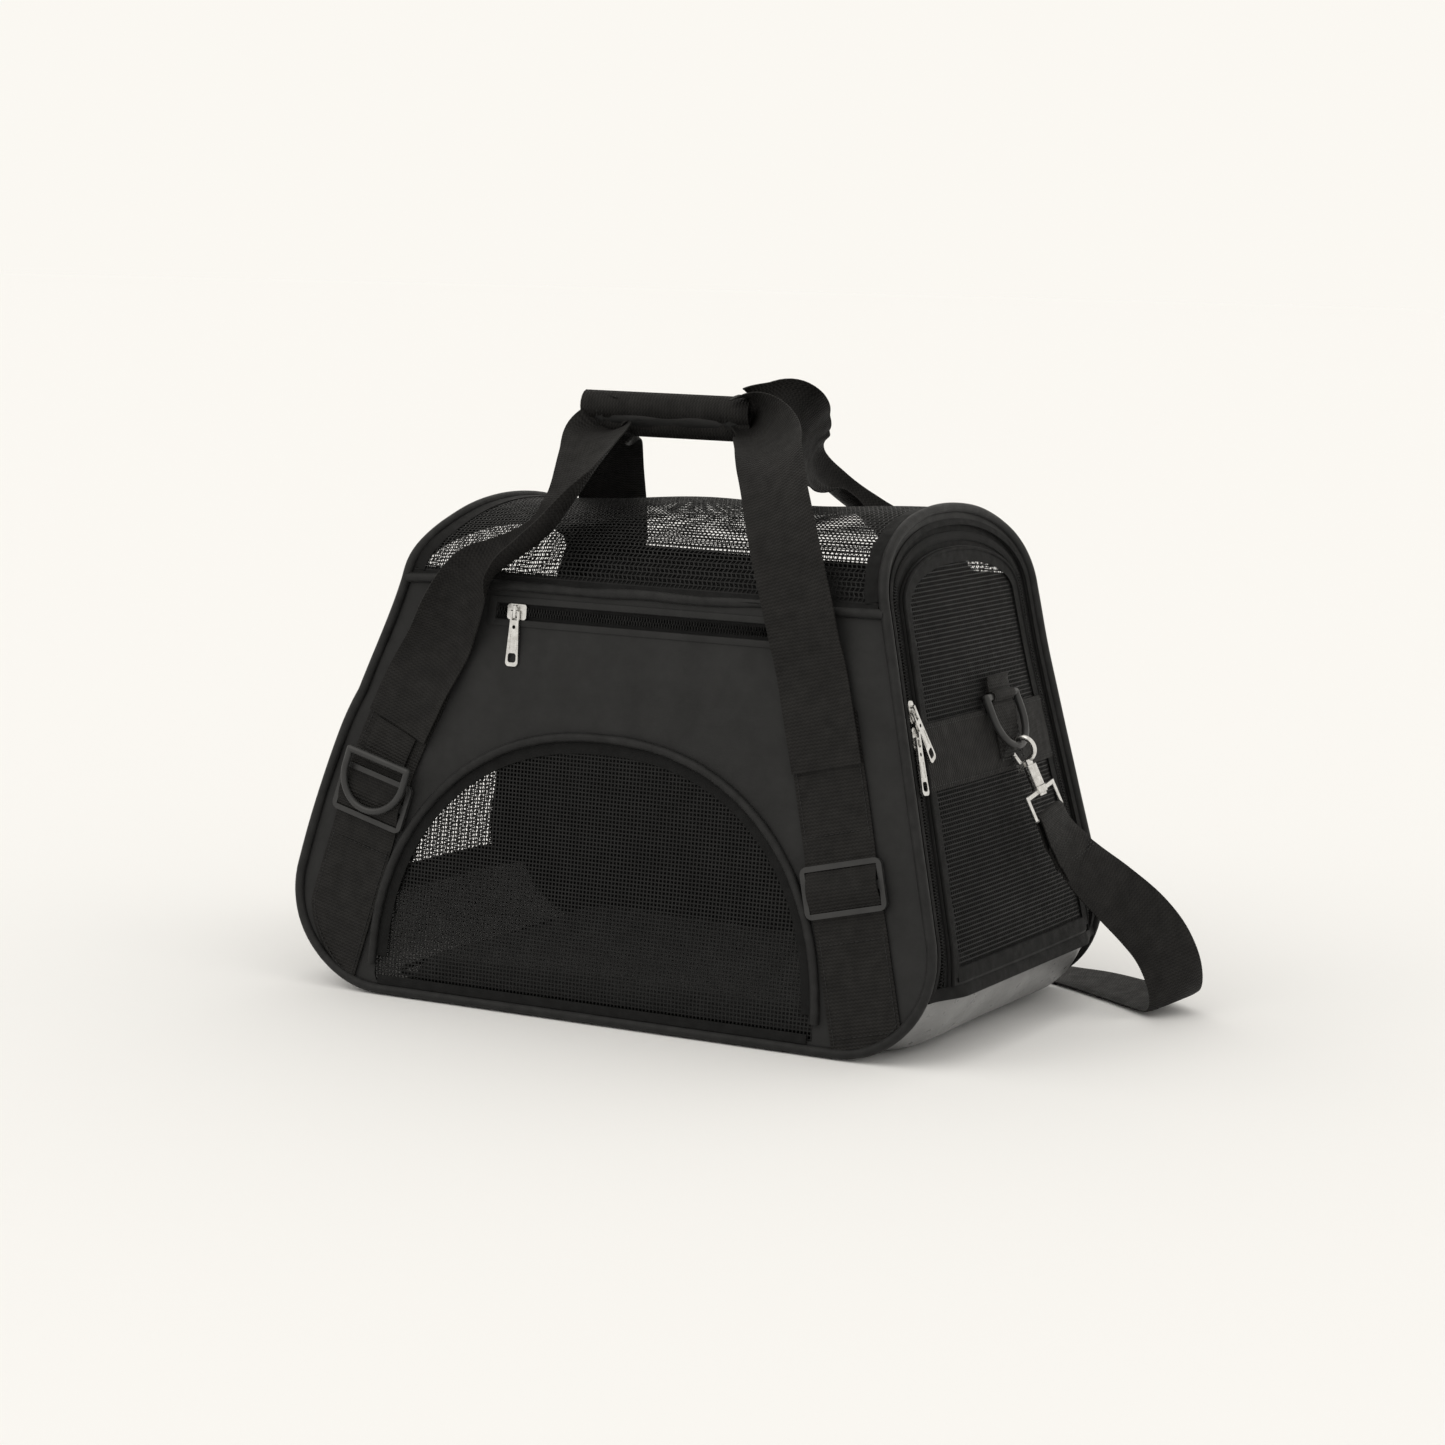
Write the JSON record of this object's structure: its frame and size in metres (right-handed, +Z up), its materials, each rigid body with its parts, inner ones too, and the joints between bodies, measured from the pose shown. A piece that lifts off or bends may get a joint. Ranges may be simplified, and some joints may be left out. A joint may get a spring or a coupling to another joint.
{
  "type": "pet transport carrier",
  "caption": "Soft-sided pet carrier with mesh windows and top, zipped fold-down end door, front pocket, joined carry handles and a clip-on shoulder strap.",
  "frame": {"origin": "middle of the base, on the surface that the carrier stands on", "axes": "+X along the length to the zipped end door, -Y is the front with the arched window and the pocket, +Z up"},
  "size_m": [0.5703, 0.3304, 0.3691],
  "materials": {
    "charcoal_cloth": "smooth coated polyester, low sheen",
    "black_mesh": "knitted polyester mesh",
    "black_piping": "corded cloth piping",
    "black_webbing": "ribbed polyester webbing",
    "zip_tape": "woven tape",
    "zip_teeth": "coil teeth",
    "grey_plastic": "moulded acetal with soft highlights",
    "zinc": "nickel-plated zinc casting",
    "pale_gusset": "smooth coated cloth, slight gloss",
    "stiff_board": "stiff plastic sheet",
    "fleece": "short-pile fleece",
    "padded_wrap": "soft padded sleeve"
  },
  "bodies": {
    "bag": {"bottom_gusset": "pale_gusset", "base_board": "stiff_board", "fleece_pad": "fleece", "front_panel": "charcoal_cloth", "front_window_mesh": "black_mesh", "window_piping": "black_piping", "front_hem": "black_piping", "pocket_lining": "charcoal_cloth", "pocket_zip_tape": "zip_tape", "pocket_zip_teeth": "zip_teeth", "rear_panel": "charcoal_cloth", "top_mesh": "black_mesh", "seam_pipings": "black_piping", "bottom_pipings": "black_piping", "left_arch_piping": "black_piping", "right_arch_piping": "black_piping", "left_border": "charcoal_cloth", "left_mesh": "black_mesh", "left_band": "black_webbing", "left_ring_tab": "black_webbing", "left_ring": "grey_plastic", "right_border": "charcoal_cloth", "bag_zip_tape": "zip_tape", "bag_zip_teeth": "zip_teeth", "front_left_webbing": "black_webbing", "front_right_webbing": "black_webbing", "rear_left_webbing": "black_webbing", "rear_right_webbing": "black_webbing", "tri_glides": "grey_plastic", "front_ring_tab": "black_webbing", "front_left_leg": "black_webbing", "front_right_leg": "black_webbing", "rear_left_leg": "black_webbing", "rear_right_leg": "black_webbing", "left_hook_frame": "zinc", "shoulder_strap": "black_webbing", "strap_adjuster": "grey_plastic"},
    "door": {"door_border": "charcoal_cloth", "door_mesh": "black_mesh", "door_band": "black_webbing", "door_zip_tape": "zip_tape", "door_zip_teeth": "zip_teeth", "door_ring_tab": "black_webbing", "door_ring": "grey_plastic", "right_hook_frame": "zinc"},
    "handle": {"grip_core": "black_webbing", "grip_wrap": "padded_wrap"},
    "upper_slider": {"upper_slider": "zinc"},
    "upper_pull": {"upper_pull": "zinc"},
    "lower_slider": {"lower_slider": "zinc"},
    "lower_pull": {"lower_pull": "zinc"},
    "pocket_slider": {"pocket_slider": "zinc"},
    "pocket_pull": {"pocket_pull": "zinc"},
    "front_ring": {"front_ring": "grey_plastic"},
    "right_hook": {"right_hook_body": "zinc"},
    "right_gate": {"right_hook_gate": "zinc"},
    "left_hook": {"left_hook_body": "zinc"},
    "left_gate": {"left_hook_gate": "zinc"}
  },
  "joints": [
    {"name": "door_fold", "type": "hinge", "parent": "bag", "child": "door", "pos_m": [0.21252, 0, 0.0395], "axis": [0, 1, 0], "range_deg": [0, 100], "deforming": ["shoulder_strap"]},
    {"name": "handle_drop", "type": "slide", "parent": "bag", "child": "handle", "axis": [0, 0, -1], "range_m": [0, 0.022], "deforming": ["front_left_leg", "front_right_leg", "rear_left_leg", "rear_right_leg"]},
    {"name": "upper_slider_travel", "type": "slide", "parent": "bag", "child": "upper_slider", "axis": [-0.2322, 0.1014, 0.9674], "range_m": [0, 0.046]},
    {"name": "lower_slider_travel", "type": "slide", "parent": "bag", "child": "lower_slider", "axis": [0.2322, -0.1014, -0.9674], "range_m": [0, 0.13]},
    {"name": "upper_pull_swing", "type": "hinge", "parent": "upper_slider", "child": "upper_pull", "pos_m": [0.17797, -0.0942, 0.19439], "axis": [0.0956, -0.9123, -0.3983], "range_deg": [0, 165]},
    {"name": "lower_pull_swing", "type": "hinge", "parent": "lower_slider", "child": "lower_pull", "pos_m": [0.18147, -0.09573, 0.1798], "axis": [-0.0237, -0.9948, 0.0986], "range_deg": [0, 155]},
    {"name": "pocket_slider_travel", "type": "slide", "parent": "bag", "child": "pocket_slider", "axis": [1, 0, 0], "range_m": [0, 0.15]},
    {"name": "pocket_pull_swing", "type": "hinge", "parent": "pocket_slider", "child": "pocket_pull", "pos_m": [-0.074, -0.1061, 0.23335], "axis": [-1, 0, 0], "range_deg": [0, 100]},
    {"name": "front_ring_swing", "type": "hinge", "parent": "bag", "child": "front_ring", "pos_m": [-0.15758, -0.12187, 0.13996], "axis": [-0.9677, 0.0263, 0.2507], "range_deg": [0, 160]},
    {"name": "right_hook_swivel", "type": "hinge", "parent": "door", "child": "right_hook", "pos_m": [0.20557, 0.02261, 0.14089], "axis": [-0.3948, -0.1392, 0.9082], "range_deg": [-30, 30]},
    {"name": "right_gate_press", "type": "hinge", "parent": "right_hook", "child": "right_gate", "pos_m": [0.19587, 0.02068, 0.15168], "axis": [-0.0555, 0.9903, 0.1276], "range_deg": [0, 22], "stiffness_Nm_per_rad": 0.0002, "springref_deg": -11.46},
    {"name": "left_hook_swivel", "type": "hinge", "parent": "bag", "child": "left_hook", "pos_m": [-0.20557, 0.02261, 0.14089], "axis": [-0.3948, 0.1392, -0.9082], "range_deg": [-30, 30]},
    {"name": "left_gate_press", "type": "hinge", "parent": "left_hook", "child": "left_gate", "pos_m": [-0.19587, 0.02068, 0.15168], "axis": [-0.0555, -0.9903, -0.1276], "range_deg": [0, 22], "stiffness_Nm_per_rad": 0.0002, "springref_deg": -11.46}
  ]
}
